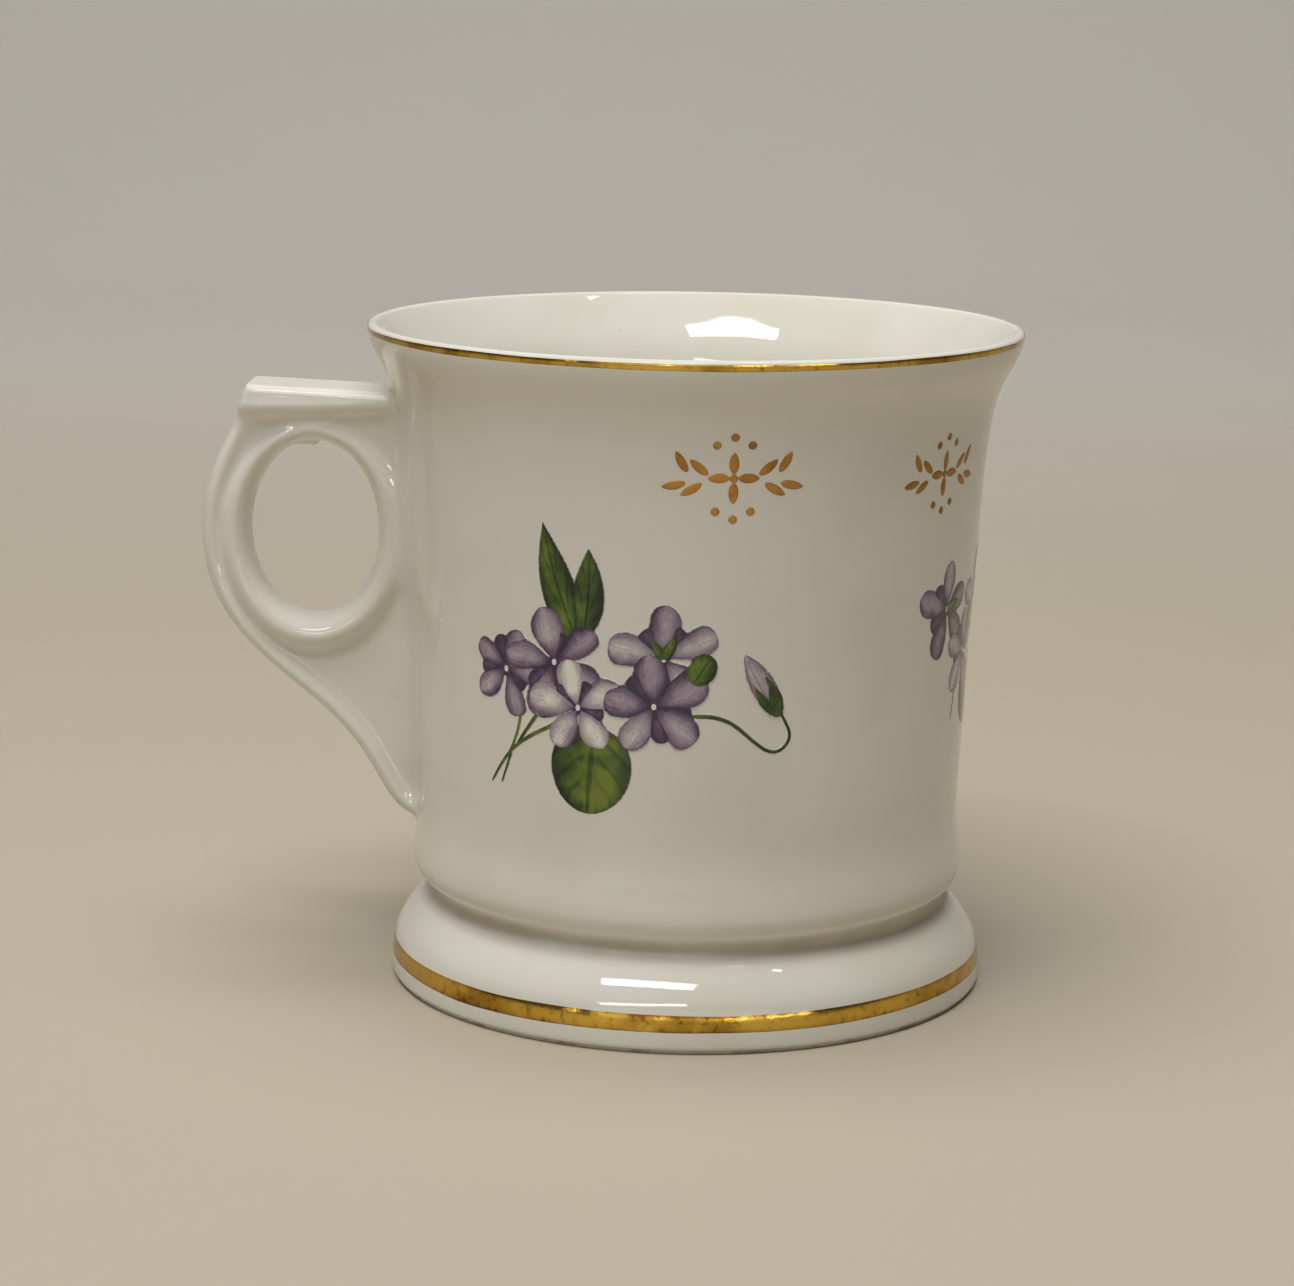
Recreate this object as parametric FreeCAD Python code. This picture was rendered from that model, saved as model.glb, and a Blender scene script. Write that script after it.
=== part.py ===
import FreeCAD, Part
import math
import os

# Flared china shaving mug on a pedestal foot. Millimetres, +Z up, origin on the axis at the standing plane.
# The ear handle points along -X. The decorated front faces -Y.
# A place on the wall is given as (turn, height): turn in degrees round the axis from the front towards +X.

# Cup
HEIGHT = 89.0
LIP_RADIUS = 43.7
LIP_ROUND = 0.75
# radius and height up the outside wall, from the shoulder to the lip
WALL = [(37.1, 19.0), (37.0, 30.0), (37.5, 45.5), (38.6, 63.5), (39.7, 76.5), (41.0, 81.8), (42.8, 85.3)]
SHOULDER_RADIUS = 37.3
SHOULDER_Z = 16.8
GROOVE_RADIUS = 34.98
GROOVE_Z = 12.3
FLOOR_TOP = 16.8
FLOOR_CORNER = 6.0
# radius and height up the inside wall, from the floor corner to the lip
BORE = [(33.9, 26.0), (34.3, 45.5), (35.4, 63.5), (36.7, 76.5), (38.3, 82.0), (40.6, 86.0)]

# Foot
FOOT_RADIUS = 40.4
# radius and height down the outside of the foot
FOOT_FLARE = [(36.4, 10.6), (38.1, 8.8), (39.15, 7.3), (39.8, 5.9), (40.15, 4.2)]
FOOT_CORNER = 0.5
RECESS_TOP_RADIUS = 29.5
RECESS_FOOT_RADIUS = 36.4
RECESS_BEND = (31.5, 8.0)
BARE_RING_HEIGHT = 0.5
BARE_RING_CHAMFER = 0.15

# Ring of slip in the groove
SEAM_ROOT = 33.4
SEAM_HALF = 0.75
SEAM_LIP = 35.3

# Handle, outline measured out from the axis and up from the standing plane
HOLE_CENTRE = (50.9, 60.65)
HOLE_HALF = (8.6, 11.8)
WEB_HALF = 3.4
BEAD_HALF = 4.8
BEAD_WIDTH = 4.4
BEAD_ROUND = 1.7
SPINE_HALF = 4.0
SPINE_WIDTH = 3.0
SPINE_ROUND = 1.3
EDGE_STATIONS = 12
# outer edge from the thumb rest's corner to the tail
OUTER_EDGE = [(59.9, 78.6), (61.9, 74.6), (64.8, 68.2), (66.2, 59.3), (63.9, 50.3), (57.5, 42.4),
              (49.5, 35.6), (44.4, 29.7), (40.4, 22.9), (36.0, 18.6)]
THUMB_HALF = 5.9
THUMB_ROOT = (36.0, 76.9, 79.4)
THUMB_TIP = (59.0, 80.4)
THUMB_CORNER = (60.4, 78.6)
THUMB_HEEL = (58.4, 76.9)
THUMB_ROUND = 1.0

# Slip fillets where the handle meets the wall
LUTING_HEIGHTS = (25.0, 48.0, 76.0)
LUTING_ON_WEB = 3.6
LUTING_ON_WALL = 9.0
LUTING_BITE = 0.4

# Applied colour and gold
ENAMEL = 0.12
RIM_LINE = (87.8, 88.55)
FOOT_BAND = (2.9, 5.1)
PETAL_INNER = 0.35
STEM_HALF = 0.32

# Blossoms: (turn, height, radius, angle of the first petal)
FRONT_BLOSSOMS = [(-38.4, 47.6, 6.2, 70), (-27.0, 49.4, 7.2, 108), (-5.0, 50.8, 7.6, 92),
                  (-22.0, 43.8, 6.4, 100), (-6.8, 44.6, 6.8, 28)]
SIDE_BLOSSOMS = [(61.0, 54.2, 6.8, 100), (82.0, 53.4, 6.8, 95), (72.5, 47.6, 6.0, 20)]
# Buds: (turn, height of the middle, length, width, lean)
FRONT_BUDS = [(14.2, 47.4, 9.2, 4.2, -31)]
SIDE_BUDS = [(97.9, 48.9, 8.0, 3.8, 28)]
# Leaves: (turn, height of the middle, length, width, lean)
FRONT_LEAVES = [(-26.6, 59.4, 16.0, 5.4, -24), (-19.1, 58.3, 11.8, 4.8, 13), (-19.8, 35.9, 11.6, 11.0, 188),
                (2.4, 49.4, 4.4, 3.8, 32)]
SIDE_LEAVES = [(84.8, 56.7, 9.5, 4.4, 6), (79.5, 40.9, 8.6, 8.8, 182)]
# Stems: rows of (turn, height)
FRONT_STEMS = [[(-34.6, 43.2), (-36.6, 38.4), (-40.2, 32.4)],
               [(-26.2, 41.6), (-28.5, 40.8), (-36.4, 37.6), (-43.0, 32.2)],
               [(-29.4, 43.6), (-33.0, 40.6), (-36.2, 37.7)],
               [(-2.0, 43.2), (1.4, 43.5), (7.2, 42.9), (13.0, 40.0), (17.4, 38.8), (19.8, 40.4), (18.9, 42.6)]]
SIDE_STEMS = [[(68.0, 49.0), (69.0, 43.5), (67.5, 38.5)], [(84.0, 47.0), (89.5, 41.8), (94.6, 45.6)]]

# Gilt ornament: four petals, a dot row and two sprigs, about its middle
ORNAMENTS = {"gilt_ornament_front": (7.3, 74.0, 1.0), "gilt_ornament_side": (55.0, 72.6, 0.92)}
ORNAMENT_PETAL = (1.9, 1.35, 0.62)
SPRIG_LEAVES = [(4.4, 1.3, 35), (5.2, -1.5, -35), (6.6, 2.0, 55), (7.4, -1.0, -15)]
SPRIG_LEAF = (1.5, 0.55)
ORNAMENT_DOTS = [(0.0, 5.2), (0.0, -5.2), (2.2, 4.2), (-2.2, 4.2), (2.2, -4.2), (-2.2, -4.2)]
DOT_RADIUS = 0.55

AXIS = FreeCAD.Vector(0, 0, 1)
ORIGIN = FreeCAD.Vector(0, 0, 0)


def rz(radius, height):
    """A point of a lathe profile, drawn in the XZ plane."""
    return FreeCAD.Vector(radius, 0, height)


def line(a, b):
    return Part.makeLine(rz(*a), rz(*b))


def curve(points, start=None, end=None):
    """A smooth edge through profile points, with the tangent given at either end."""
    spline = Part.BSplineCurve()
    vectors = [rz(*p) for p in points]
    if start and end:
        spline.interpolate(vectors, InitialTangent=rz(*start), FinalTangent=rz(*end))
    else:
        spline.interpolate(vectors)
    return spline.toShape()


def arc(a, middle, b):
    return Part.Arc(rz(*a), rz(*middle), rz(*b)).toShape()


def lathe(edges):
    """The solid turned by a closed profile of edges."""
    face = Part.Face(Part.Wire(Part.__sortEdges__(edges)))
    return face.revolve(ORIGIN, AXIS, 360)


def export(shape, name):
    shape.exportStep(os.path.join("parts", name + ".step"))


def outer_wall():
    """Edge up the outside of the cup, from the shoulder's crest to just under the lip."""
    lip = (LIP_RADIUS, HEIGHT - LIP_ROUND)
    return curve([(SHOULDER_RADIUS, SHOULDER_Z)] + WALL + [lip], start=(0, 1), end=(0, 1))


def lip_arc():
    top = (LIP_RADIUS - LIP_ROUND, HEIGHT)
    slant = LIP_ROUND * math.sqrt(0.5)
    middle = (LIP_RADIUS - LIP_ROUND + slant, HEIGHT - LIP_ROUND + slant)
    return arc((LIP_RADIUS, HEIGHT - LIP_ROUND), middle, top)


def shoulder():
    """Edge from the groove up round the lower shoulder of the cup."""
    return curve([(SEAM_LIP, GROOVE_Z + SEAM_HALF), (36.6, 14.4), (SHOULDER_RADIUS, SHOULDER_Z)],
                 start=(1, 1), end=(0, 1))


def cup_body():
    lip_inner = (LIP_RADIUS - LIP_ROUND, HEIGHT)
    corner_wall = (BORE[0][0] - 0.2, FLOOR_TOP + FLOOR_CORNER)
    corner_floor = (BORE[0][0] - FLOOR_CORNER, FLOOR_TOP)
    bend = FLOOR_CORNER * (1 - math.sqrt(0.5))
    corner_middle = (corner_wall[0] - bend, FLOOR_TOP + bend)
    bore = curve([corner_wall] + BORE + [lip_inner], start=(0.03, 1), end=(1, 0.25))
    return lathe([
        outer_wall(), lip_arc(), bore,
        arc(corner_wall, corner_middle, corner_floor),
        line(corner_floor, (0, FLOOR_TOP)),
        line((0, FLOOR_TOP), (0, GROOVE_Z)),
        line((0, GROOVE_Z), (SEAM_ROOT, GROOVE_Z)),
        line((SEAM_ROOT, GROOVE_Z), (SEAM_ROOT, GROOVE_Z + SEAM_HALF)),
        line((SEAM_ROOT, GROOVE_Z + SEAM_HALF), (SEAM_LIP, GROOVE_Z + SEAM_HALF)),
        shoulder(),
    ])


def foot_flare():
    """Edge down the outside of the foot, from the groove to the bottom corner."""
    top, bottom = (SEAM_LIP, GROOVE_Z - SEAM_HALF), (FOOT_RADIUS, BARE_RING_HEIGHT + FOOT_CORNER)
    return curve([top] + FOOT_FLARE + [bottom], start=(1, -0.9), end=(0, -1))


def pedestal_foot():
    bottom = BARE_RING_HEIGHT
    corner = (FOOT_RADIUS - FOOT_CORNER, bottom)
    slant = FOOT_CORNER * math.sqrt(0.5)
    corner_middle = (FOOT_RADIUS - FOOT_CORNER + slant, bottom + FOOT_CORNER - slant)
    recess = curve([(RECESS_FOOT_RADIUS, bottom), (34.6, 3.6), RECESS_BEND, (RECESS_TOP_RADIUS, GROOVE_Z)])
    return lathe([
        foot_flare(),
        arc((FOOT_RADIUS, bottom + FOOT_CORNER), corner_middle, corner),
        line(corner, (RECESS_FOOT_RADIUS, bottom)),
        recess,
        line((RECESS_TOP_RADIUS, GROOVE_Z), (SEAM_ROOT, GROOVE_Z)),
        line((SEAM_ROOT, GROOVE_Z), (SEAM_ROOT, GROOVE_Z - SEAM_HALF)),
        line((SEAM_ROOT, GROOVE_Z - SEAM_HALF), (SEAM_LIP, GROOVE_Z - SEAM_HALF)),
    ])


def foot_luting_seam():
    """Ring of slip with a hollow outer face that joins the cup and the foot in the groove."""
    top = GROOVE_Z + SEAM_HALF
    low = GROOVE_Z - SEAM_HALF
    return lathe([
        arc((SEAM_LIP, low), (GROOVE_RADIUS, GROOVE_Z), (SEAM_LIP, top)),
        line((SEAM_LIP, top), (SEAM_ROOT, top)),
        line((SEAM_ROOT, top), (SEAM_ROOT, low)),
        line((SEAM_ROOT, low), (SEAM_LIP, low)),
    ])


def foot_ring_bare():
    """Unglazed ring that the mug stands on."""
    outer = FOOT_RADIUS - FOOT_CORNER
    inner = RECESS_FOOT_RADIUS
    chamfer = BARE_RING_CHAMFER
    corners = [(inner, BARE_RING_HEIGHT), (outer, BARE_RING_HEIGHT), (outer, chamfer), (outer - chamfer, 0),
               (inner + chamfer, 0), (inner, chamfer)]
    return lathe([line(corners[i - 1], corners[i]) for i in range(len(corners))])


def side(out, height):
    """A point of the handle's side view: out from the axis along -X, and up."""
    return FreeCAD.Vector(-out, 0, height)


def oval(grow):
    """The finger hole's outline, grown all round."""
    centre = side(*HOLE_CENTRE)
    ellipse = Part.Ellipse(centre, HOLE_HALF[1] + grow, HOLE_HALF[0] + grow)
    shape = ellipse.toShape()
    shape.rotate(centre, FreeCAD.Vector(1, 0, 0), 90)
    shape.rotate(centre, FreeCAD.Vector(0, 1, 0), 90)
    return shape


def slab(wire, half):
    """A side-view outline given thickness half each way in Y."""
    face = Part.Face(wire)
    face.translate(FreeCAD.Vector(0, -half, 0))
    return face.extrude(FreeCAD.Vector(0, 2 * half, 0))


def edge_spline(points):
    spline = Part.BSplineCurve()
    spline.interpolate([side(*p) for p in points])
    return spline


def outer_edge(inset):
    """The handle's outer edge in side view, moved inwards by inset."""
    edge = edge_spline(OUTER_EDGE)
    if inset == 0:
        return edge
    points = []
    for i in range(EDGE_STATIONS + 1):
        u = edge.FirstParameter + (edge.LastParameter - edge.FirstParameter) * i / EDGE_STATIONS
        along = edge.tangent(u)[0]
        inward = FreeCAD.Vector(-along.z, 0, along.x)
        if inward.x < 0:
            inward = inward * -1
        points.append(edge.value(u) + inward * inset)
    moved = Part.BSplineCurve()
    moved.interpolate(points)
    return moved


def along_y(solid):
    """The straight edges of a slab's rim that lie in one of its two faces, for rounding."""
    return [e for e in solid.Edges if abs(e.Vertexes[0].Y - e.Vertexes[-1].Y) < 1e-6]


def handle_web():
    edge = outer_edge(SPINE_WIDTH / 2)
    first, last = edge.value(edge.FirstParameter), edge.value(edge.LastParameter)
    root_top = FreeCAD.Vector(last.x, 0, first.z)
    rim = [edge.toShape(), Part.makeLine(last, root_top), Part.makeLine(root_top, first)]
    return slab(Part.Wire(Part.__sortEdges__(rim)), WEB_HALF)


def handle_bead():
    """Thick oval disc that becomes the bead once the finger hole is cut through it."""
    disc = slab(Part.Wire(oval(BEAD_WIDTH)), BEAD_HALF)
    return disc.makeFillet(BEAD_ROUND, along_y(disc))


def handle_spine():
    """Thick rib along the outer edge, from the thumb rest to the tail."""
    outside, inside = outer_edge(0), outer_edge(SPINE_WIDTH)
    ends = [Part.makeLine(outside.value(outside.FirstParameter), inside.value(inside.FirstParameter)),
            Part.makeLine(outside.value(outside.LastParameter), inside.value(inside.LastParameter))]
    rib = slab(Part.Wire(Part.__sortEdges__([outside.toShape(), inside.toShape()] + ends)), SPINE_HALF)
    long_edges = [e for e in along_y(rib) if e.Length > 2 * SPINE_WIDTH]
    return rib.makeFillet(SPINE_ROUND, long_edges)


def thumb_rest():
    root, low, high = THUMB_ROOT
    corners = [(root, low), (root, high), THUMB_TIP, THUMB_CORNER, THUMB_HEEL]
    wire = Part.makePolygon([side(*p) for p in corners + corners[:1]])
    plate = slab(wire, THUMB_HALF)
    rounded = [e for e in plate.Edges if min(v.X for v in e.Vertexes) < -root - 1.0]
    return plate.makeFillet(THUMB_ROUND, rounded)


def cup_blank():
    """The cup's outside as one solid, for trimming what is stuck to it."""
    top = HEIGHT - LIP_ROUND
    return lathe([
        outer_wall(), line((LIP_RADIUS, top), (0, top)), line((0, top), (0, GROOVE_Z)),
        line((0, GROOVE_Z), (SEAM_LIP, GROOVE_Z)),
        line((SEAM_LIP, GROOVE_Z), (SEAM_LIP, GROOVE_Z + SEAM_HALF)), shoulder(),
    ])


def handle(blank):
    body = handle_web().multiFuse([handle_bead(), handle_spine(), thumb_rest()])
    hole = slab(Part.Wire(oval(0.0)), 2 * THUMB_HALF)
    return body.cut(hole).cut(blank).removeSplitter().Solids[0]


def wall_radius(height):
    """The outside wall's radius at a height."""
    wall = outer_wall()
    level = Part.makeLine(rz(0, height), rz(LIP_RADIUS + 10, height))
    return wall.distToShape(level)[1][0][0].x


def luting_section(height, hand):
    """Slip between web and wall at one height: hand is -1 or 1 for the two sides of the handle."""
    radius = wall_radius(height)
    root = FreeCAD.Vector(-radius + 3.0, hand * WEB_HALF, height)
    on_web = FreeCAD.Vector(-radius - LUTING_ON_WEB, hand * WEB_HALF, height)
    reach = math.sqrt(radius ** 2 - LUTING_ON_WALL ** 2) - LUTING_BITE
    on_wall = FreeCAD.Vector(-reach, hand * LUTING_ON_WALL, height)
    behind = FreeCAD.Vector(-radius + 3.0, hand * LUTING_ON_WALL, height)
    hollow = FreeCAD.Vector(-radius - 0.25 * LUTING_ON_WEB, hand * (WEB_HALF + 1.5), height)
    edges = [Part.makeLine(root, on_web), Part.Arc(on_web, hollow, on_wall).toShape(),
             Part.makeLine(on_wall, behind), Part.makeLine(behind, root)]
    return Part.Wire(edges)


def handle_luting_slip(blank, handle_solid):
    strips = []
    for hand in (-1, 1):
        sections = [luting_section(height, hand) for height in LUTING_HEIGHTS]
        strips.append(Part.makeLoft(sections, True, False).cut(blank).cut(handle_solid))
    return Part.makeCompound([s for strip in strips for s in strip.Solids])


def lathe_skin(edge, low, high):
    """The layer ENAMEL thick outside a profile edge, between two heights."""
    window = slab_between(low, high)
    trimmed = edge.common(window)
    ends = sorted(trimmed.Vertexes, key=lambda v: v.Z)
    bottom, top = ends[0].Point, ends[-1].Point
    step = FreeCAD.Vector(ENAMEL, 0, 0)
    shifted = trimmed.copy()
    shifted.translate(step)
    edges = trimmed.Edges + shifted.Edges
    edges += [Part.makeLine(bottom, bottom + step), Part.makeLine(top, top + step)]
    return lathe(edges)


def slab_between(low, high):
    reach = 2 * LIP_RADIUS
    return Part.makeBox(2 * reach, 2 * reach, high - low, FreeCAD.Vector(-reach, -reach, low))


def on_wall(shape, turn):
    """Turns a flat patch drawn at the front round to its place."""
    shape.rotate(ORIGIN, AXIS, turn)
    return shape


def patch(edges):
    """A prism through the front wall, from a closed outline drawn in X (along the wall) and Z."""
    face = Part.Face(Part.Wire(edges))
    face.translate(FreeCAD.Vector(0, -LIP_RADIUS - 2, 0))
    return face.extrude(FreeCAD.Vector(0, LIP_RADIUS * 0.35, 0))


def closed_spline(points):
    spline = Part.BSplineCurve()
    spline.interpolate([FreeCAD.Vector(x, 0, z) for x, z in points], PeriodicFlag=True)
    return [spline.toShape()]


def leaf_outline(x, z, length, width, lean):
    """A pointed oval about (x, z), leaning by degrees from upright towards +X."""
    half = [(0, -0.5), (0.42, -0.15), (0.38, 0.2), (0, 0.5), (-0.38, 0.2), (-0.42, -0.15)]
    turn = math.radians(lean)
    points = []
    for across, along in half:
        a, b = across * width, along * length
        points.append((x + a * math.cos(turn) + b * math.sin(turn),
                       z - a * math.sin(turn) + b * math.cos(turn)))
    return closed_spline(points)


def lozenge(x, z, half):
    corners = [(x, z - half), (x + half, z), (x, z + half), (x - half, z)]
    return [Part.makeLine(rz(*corners[i - 1]), rz(*corners[i])) for i in range(4)]


def blossom(turn, height, radius, first):
    """Five petals round a middle, as prisms at their place on the wall."""
    petals = []
    for i in range(5):
        angle = math.radians(first + 72 * i)
        reach = radius * (PETAL_INNER + 0.2)
        petals.append(patch(leaf_outline(reach * math.cos(angle), height + reach * math.sin(angle),
                                         radius * 0.95, radius * 0.78, 90 - math.degrees(angle))))
    return [on_wall(p, turn) for p in petals]


def leaf(turn, height, length, width, lean):
    return on_wall(patch(leaf_outline(0, height, length, width, lean)), turn)


def stem(points):
    """A narrow ribbon on the wall through (turn, height) points."""
    middle = sum(turn for turn, _ in points) / len(points)
    radius = WALL[1][0]
    places = [rz(radius * math.sin(math.radians(turn - middle)), height) for turn, height in points]
    path = Part.BSplineCurve()
    path.interpolate(places)
    stations = 8
    sides = ([], [])
    for i in range(stations + 1):
        u = path.FirstParameter + (path.LastParameter - path.FirstParameter) * i / stations
        along = path.tangent(u)[0]
        across = FreeCAD.Vector(along.z, 0, -along.x) * STEM_HALF
        sides[0].append(path.value(u) + across)
        sides[1].append(path.value(u) - across)
    edges = []
    for row in sides:
        spline = Part.BSplineCurve()
        spline.interpolate(row)
        edges.append(spline.toShape())
    edges.append(Part.makeLine(sides[0][0], sides[1][0]))
    edges.append(Part.makeLine(sides[0][-1], sides[1][-1]))
    return on_wall(patch(Part.__sortEdges__(edges)), middle)


def laid(prisms, skin, covers):
    """What the prisms print on the wall's skin, less what is printed over them."""
    shape = prisms[0].multiFuse(prisms[1:]) if len(prisms) > 1 else prisms[0]
    shape = shape.common(skin)
    for cover in covers:
        shape = shape.cut(cover)
    return Part.makeCompound([s for s in shape.Solids if s.Volume > 0.01])


def spray(side_name, blossoms, buds, leaves, stems, skin):
    petals = [p for b in blossoms for p in blossom(*b)] + [leaf(*b) for b in buds]
    petals = laid(petals, skin, [])
    greens = laid([leaf(*item) for item in leaves], skin, [petals])
    twigs = laid([stem(item) for item in stems], skin, [petals, greens])
    export(petals, side_name + "_spray_petals")
    export(greens, side_name + "_spray_leaves")
    export(twigs, side_name + "_spray_stems")


def ornament(turn, height, size):
    """Four gold petals round a lozenge, with a leafy sprig each side and lozenges above and below."""
    prisms = []
    reach, long_half, wide_half = ORNAMENT_PETAL
    for i in range(4):
        angle = math.radians(90 * i)
        x, z = size * reach * math.sin(angle), height + size * reach * math.cos(angle)
        prisms.append(patch(leaf_outline(x, z, 2 * size * long_half, 2 * size * wide_half, 90 * i)))
    for hand in (-1, 1):
        for x, z, lean in SPRIG_LEAVES:
            prisms.append(patch(leaf_outline(hand * size * x, height + size * z, 2 * size * SPRIG_LEAF[0],
                                             2 * size * SPRIG_LEAF[1], hand * (90 - lean))))
    for x, z in ORNAMENT_DOTS + [(0.0, 0.0)]:
        prisms.append(patch(lozenge(size * x, height + size * z, size * DOT_RADIUS)))
    return [on_wall(p, turn) for p in prisms]


def main():
    os.makedirs("parts", exist_ok=True)
    blank = cup_blank()
    ear = handle(blank)
    export(cup_body(), "cup_body")
    export(pedestal_foot(), "pedestal_foot")
    export(foot_luting_seam(), "foot_luting_seam")
    export(foot_ring_bare(), "foot_ring_bare")
    export(ear, "handle")
    export(handle_luting_slip(blank, ear), "handle_luting_slip")
    export(lathe_skin(outer_wall(), *RIM_LINE), "rim_gilt_line")
    export(lathe_skin(foot_flare(), *FOOT_BAND), "foot_gilt_band")
    skin = lathe_skin(outer_wall(), 25.0, 84.0)
    spray("front", FRONT_BLOSSOMS, FRONT_BUDS, FRONT_LEAVES, FRONT_STEMS, skin)
    spray("side", SIDE_BLOSSOMS, SIDE_BUDS, SIDE_LEAVES, SIDE_STEMS, skin)
    for name, place in ORNAMENTS.items():
        export(laid(ornament(*place), skin, []), name)


main()
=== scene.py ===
import math

import bpy
import numpy as np
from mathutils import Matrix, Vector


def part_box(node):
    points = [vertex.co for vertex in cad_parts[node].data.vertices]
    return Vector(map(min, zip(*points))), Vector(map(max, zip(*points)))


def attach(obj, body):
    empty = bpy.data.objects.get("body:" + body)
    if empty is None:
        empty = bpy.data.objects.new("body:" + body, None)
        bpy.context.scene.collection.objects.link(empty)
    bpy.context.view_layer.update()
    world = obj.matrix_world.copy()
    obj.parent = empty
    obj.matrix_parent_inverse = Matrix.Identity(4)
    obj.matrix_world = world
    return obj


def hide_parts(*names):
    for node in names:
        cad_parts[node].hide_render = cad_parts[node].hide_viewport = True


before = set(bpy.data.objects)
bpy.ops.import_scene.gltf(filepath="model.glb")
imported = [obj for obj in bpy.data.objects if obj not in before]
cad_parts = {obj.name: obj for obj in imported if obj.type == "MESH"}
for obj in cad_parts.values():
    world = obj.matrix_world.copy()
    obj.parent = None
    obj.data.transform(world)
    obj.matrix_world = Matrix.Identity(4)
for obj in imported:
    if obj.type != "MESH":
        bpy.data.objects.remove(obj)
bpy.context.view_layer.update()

import openvdb
from mathutils import Matrix, Vector

# A flared china shaving mug. Shapes are worked out in millimetres and become metres when a mesh is made.
# Origin on the mug's axis at the standing plane, +Z up, handle towards -X, decorated front towards -Y.
# A place on the wall is (turn, height): turn in degrees round the axis from the front towards +X.
MM = 0.001
# A distance too short to matter, in the units at hand
TINY = 1e-9

# Lathe shapes: rows of (radius, height), and the directions in which two of their curves set off
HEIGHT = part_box("cup_body")[1].z / MM
GROOVE_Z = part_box("cup_body")[0].z / MM
FLOOR_TOP = 16.8
LIP_RADIUS = 43.7
LIP_ROUND = 0.75
# The lip's round edge runs this many degrees from its outer side over to the bore
LIP_REACH = 144
# The seam's slip meets cup and foot at this radius, reaches this far up and down, and this far in
SEAM_LIP = 35.3
SEAM_HALF = 0.75
SEAM_BACK = SEAM_LIP - 2.0
GROOVE_RADIUS = 35.1
SHOULDER = [(SEAM_LIP, GROOVE_Z + SEAM_HALF), (36.65, 14.4), (37.4, 16.6)]
WALL = [(36.9, 21.5), (36.95, 30.0), (37.5, 45.5), (38.6, 63.5), (39.7, 76.5), (41.0, 81.8), (42.8, 85.3)]
BORE = [(33.9, 26.0), (34.3, 45.5), (35.4, 63.5), (36.7, 76.5), (38.3, 82.0), (40.08, 85.2)]
BORE_START = (0.03, 1)
BORE_FOOT_RADIUS = BORE[0][0] - 0.2
FLOOR_CORNER = 6.0
FLOOR_MIDDLE = 18.0
FOOT_RADIUS = 40.4
FOOT_FLARE = [(SEAM_LIP, GROOVE_Z - SEAM_HALF), (36.4, 10.6), (38.1, 8.8), (39.15, 7.3), (39.8, 5.9),
              (40.15, 4.2), (FOOT_RADIUS, 1.0)]
FLARE_START = (1, -0.9)
FOOT_CORNER = 0.5
FOOT_RECESS = [(36.4, 0.5), (34.6, 3.6), (31.5, 8.0), (29.5, GROOVE_Z)]
RING_HEIGHT = 0.5
RING_WORN = 0.2
LATHE_TURNS = 360
PROFILE_STEP = 0.35
# Edges sharper than this many degrees stay sharp, on the lathe shapes and on the soft ones
CREASE = 35
SOFT_CREASE = 60

# Handle, side view: out from the axis, and up. Half widths are across it
HOLE_CENTRE = (50.9, 60.65)
HOLE_HALF = (8.6, 11.8)
OUTER_EDGE = [(59.9, 78.6), (61.9, 74.6), (64.8, 68.2), (66.2, 59.3), (63.9, 50.3), (57.5, 42.4),
              (49.5, 35.6), (44.4, 29.7), (41.2, 24.3), (38.6, 21.6), (36.0, 20.9)]
OUTER_STEP = 0.6
HOLE_POINTS = 120
# The web thickens by its spread between the two heights, and the ribs stop inside the thumb plate
WEB_HALF = 2.9
WEB_SPREAD = 1.2
WEB_SPREAD_HEIGHTS = (67.0, 76.0)
RIB_TOP = 77.8
# The bead round the hole swells towards its lowest point, and thins as much towards its highest
BEAD_RADIAL = 2.2
BEAD_SWELL = 0.3
BEAD_SWELL_LIMIT = 1.3
BEAD_HALF = 4.8
SPINE_RADIAL = 1.5
SPINE_HALF = 3.9
RIB_BLEND = 1.8
# Thumb plate: its blend into the rest is wide below the first height and tight above the second
THUMB_OUTLINE = [(36.0, 77.5), (36.0, 79.4), (59.6, 80.4), (60.9, 79.3), (60.9, 77.0), (57.0, 76.8)]
THUMB_END = 60.5
THUMB_HALF = 5.8
THUMB_CORNER = 2.4
THUMB_ROUND = 1.1
THUMB_BLEND = (5.0, 2.2)
THUMB_BLEND_HEIGHTS = (77.0, 79.6)
# Slip fillet's reach, below and above the given heights, and its share of that at the tail. It is cut off
# just inside its reach, its edge dips under the wall's glaze, and the handle's root lies deeper
FILLET = (7.0, 2.6)
FILLET_HEIGHTS = (70.0, 79.0)
FILLET_TAIL = 0.35
FILLET_TAIL_HEIGHTS = (20.0, 32.0)
FILLET_SHARE = 0.98
SUNK = 0.03
HANDLE_ROOT = 0.8
# Drips of glaze at the top of the finger hole: out, across, up and radius
NIB = [(0.2, -0.6, 0.05, 0.75), (1.4, -0.2, 0.0, 0.7), (2.1, -0.8, -0.1, 0.45)]
NIB_BLEND = 0.8
# The block the handle is worked out in, its grid's step, how often each point is drawn onto the true
# surface, and the least slope trusted
HANDLE_BLOCK = np.array([(-67.6, -11.5, 14.0), (-33.5, 11.5, 84.0)])
VOXEL = 0.2
SETTLING = 3
LEAST_SLOPE = 0.3
FAR = 1e9

# Applied colour: a film's thickness, its rise over the last one, its soft edge's width, at most a share of
# its half width, and its least half width
ENAMEL = 0.05
GILT = 0.04
LAYER_STEP = 0.0015
FEATHER = 0.38
FEATHER_SHARE = 0.5
THINNEST = 0.02
# Tones run from deep (0) to pale (1). The petals in a blossom's shade are deeper, and its eye is paler
SHADOW_TONE = -0.35
EYE_TONE = 1.7
SEPAL_TONE = 0.35
GOLD_TONE = 0.5
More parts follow.
